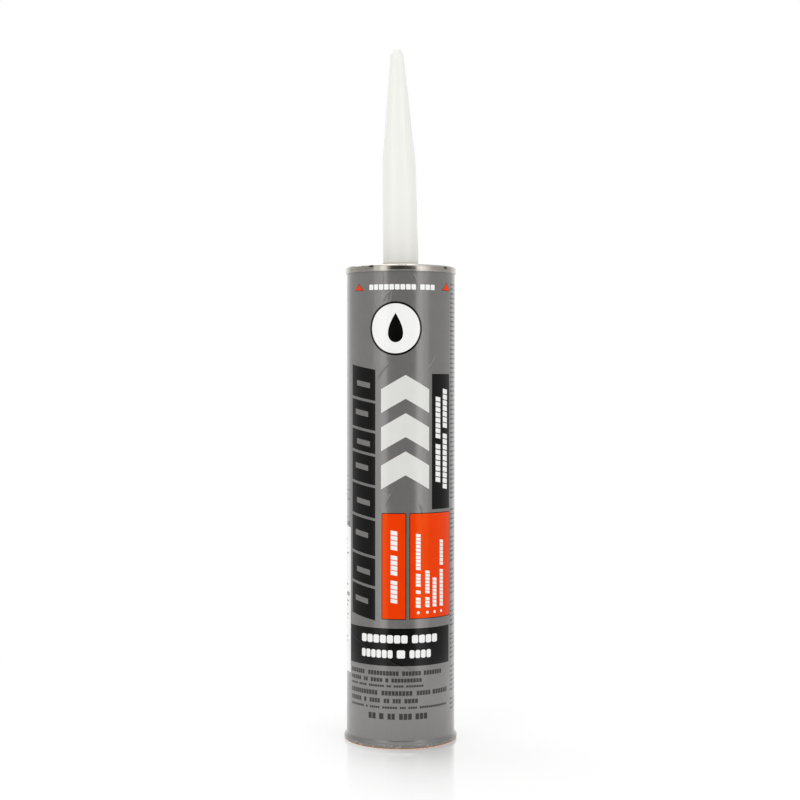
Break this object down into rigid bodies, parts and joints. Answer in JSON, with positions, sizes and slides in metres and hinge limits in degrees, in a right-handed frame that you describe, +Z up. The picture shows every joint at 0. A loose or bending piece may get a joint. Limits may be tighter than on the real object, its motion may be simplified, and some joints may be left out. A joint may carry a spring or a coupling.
{
  "type": "caulk tube",
  "caption": "Paperboard sealant cartridge for a caulking gun, with a rolled tinplate end, a long closed plastic nozzle and a plunger that slides up from its open rear end.",
  "frame": {"origin": "centre of the open rear end, in the plane the tube stands on", "axes": "+Z up the tube's axis towards the nozzle, -Y towards the printed front, +X to the right of the front; the nozzle leans slightly towards -X"},
  "size_m": [0.0516, 0.0518, 0.3159],
  "materials": {
    "paperboard": "brown kraft board, spiral wound, smooth",
    "label": "coated and glossy, grey with orange and black fields",
    "tinplate": "bright rolled tinplate",
    "natural_plastic": "undyed polyethylene, slightly see-through, soft sheen",
    "foil": "thin bright foil",
    "paste": "soft pale paste, satin",
    "plunger_plastic": "undyed polyethylene, matt"
  },
  "bodies": {
    "cartridge": {"cartridge_tube": "paperboard", "printed_label": "label", "metal_end": "tinplate", "nozzle": "natural_plastic", "breakaway_seal": "foil", "sealant": "paste"},
    "plunger": {"plunger": "plunger_plastic"}
  },
  "joints": [
    {"name": "plunger_slide", "type": "slide", "parent": "cartridge", "child": "plunger", "axis": [0, 0, 1], "range_m": [0, 0.171], "deforming": ["sealant"]}
  ]
}
